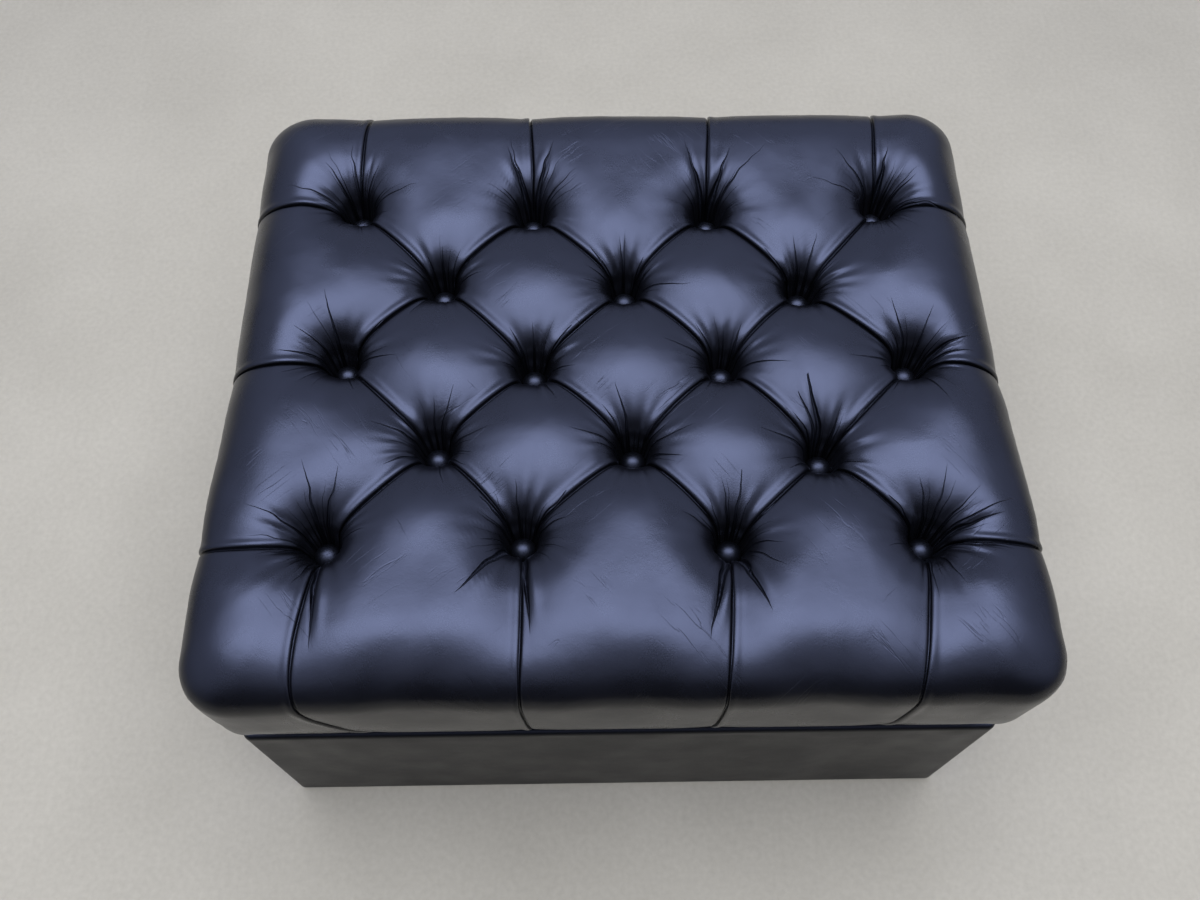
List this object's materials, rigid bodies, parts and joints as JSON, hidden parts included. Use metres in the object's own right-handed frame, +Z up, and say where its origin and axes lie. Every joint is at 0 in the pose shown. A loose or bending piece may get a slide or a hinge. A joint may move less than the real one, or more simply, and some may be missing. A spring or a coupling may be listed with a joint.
{
  "type": "storage ottoman",
  "caption": "Black leather storage ottoman: a deep diamond-tufted lid hinged at the back of a plain leather-covered box, with slotted stays that hold it open.",
  "frame": {"origin": "on the floor, under the centre of the ottoman", "axes": "+Z up, front towards -Y, the lid's hinges at +Y, +X to the right seen from the front"},
  "size_m": [0.692, 0.608, 0.415],
  "materials": {
    "leather": "satin",
    "button_leather": "satin",
    "plywood": "matte",
    "foam": "matte",
    "wadding": "matte",
    "lining": "matte",
    "dust_cloth": "matte",
    "twine": "matte",
    "steel": "satin",
    "screw": "satin",
    "rubber": "matte",
    "plastic": "matte"
  },
  "bodies": {
    "base": {"base_front_board": "plywood", "base_back_board": "plywood", "base_left_board": "plywood", "base_right_board": "plywood", "base_floor_board": "plywood", "floor_cleats": "plywood", "corner_blocks": "plywood", "base_front_padding": "foam", "base_back_padding": "foam", "base_left_padding": "foam", "base_right_padding": "foam", "base_front_leather": "leather", "base_back_leather": "leather", "base_left_leather": "leather", "base_right_leather": "leather", "box_lining_walls": "lining", "box_lining_floor": "lining", "box_lining_welt": "lining", "dust_cover": "dust_cloth", "glides": "plastic", "glide_screws": "screw", "board_screws": "screw", "left_hinge_base_leaf": "steel", "left_hinge_pin": "steel", "right_hinge_base_leaf": "steel", "right_hinge_pin": "steel", "hinge_base_screws": "screw", "left_stay_base_bracket": "steel", "right_stay_base_bracket": "steel", "stay_base_screws": "screw"},
    "lid": {"lid_front_rail": "plywood", "lid_back_rail": "plywood", "lid_left_rail": "plywood", "lid_right_rail": "plywood", "lid_deck": "plywood", "lid_foam": "foam", "lid_front_pad": "foam", "lid_back_pad": "foam", "lid_left_pad": "foam", "lid_right_pad": "foam", "lid_wadding": "wadding", "lid_cover": "leather", "button_caps": "button_leather", "button_backs": "steel", "button_twines": "twine", "twine_anchors": "steel", "lid_lining": "lining", "lid_lining_welt": "lining", "lid_bumpers": "rubber", "left_hinge_lid_leaf": "steel", "right_hinge_lid_leaf": "steel", "hinge_lid_screws": "screw", "left_stay_lid_bracket": "steel", "right_stay_lid_bracket": "steel", "stay_lid_screws": "screw"},
    "stay_arm_left": {"left_stay_arm": "steel"},
    "stay_arm_right": {"right_stay_arm": "steel"}
  },
  "joints": [
    {"name": "lid_hinge", "type": "hinge", "parent": "base", "child": "lid", "pos_m": [0, 0.2915, 0.2315], "axis": [-1, 0, 0], "range_deg": [0, 95]},
    {"name": "left_stay_pivot", "type": "hinge", "parent": "lid", "child": "stay_arm_left", "pos_m": [-0.3057, 0.1835, 0.2535], "axis": [-1, 0, 0], "range_deg": [-47.5, 0]},
    {"name": "right_stay_pivot", "type": "hinge", "parent": "lid", "child": "stay_arm_right", "pos_m": [0.3057, 0.1835, 0.2535], "axis": [-1, 0, 0], "range_deg": [-47.5, 0]}
  ],
  "couplings": [
    {"joint": "left_stay_pivot", "follows": "lid_hinge", "ratio": -0.5},
    {"joint": "right_stay_pivot", "follows": "lid_hinge", "ratio": -0.5}
  ]
}
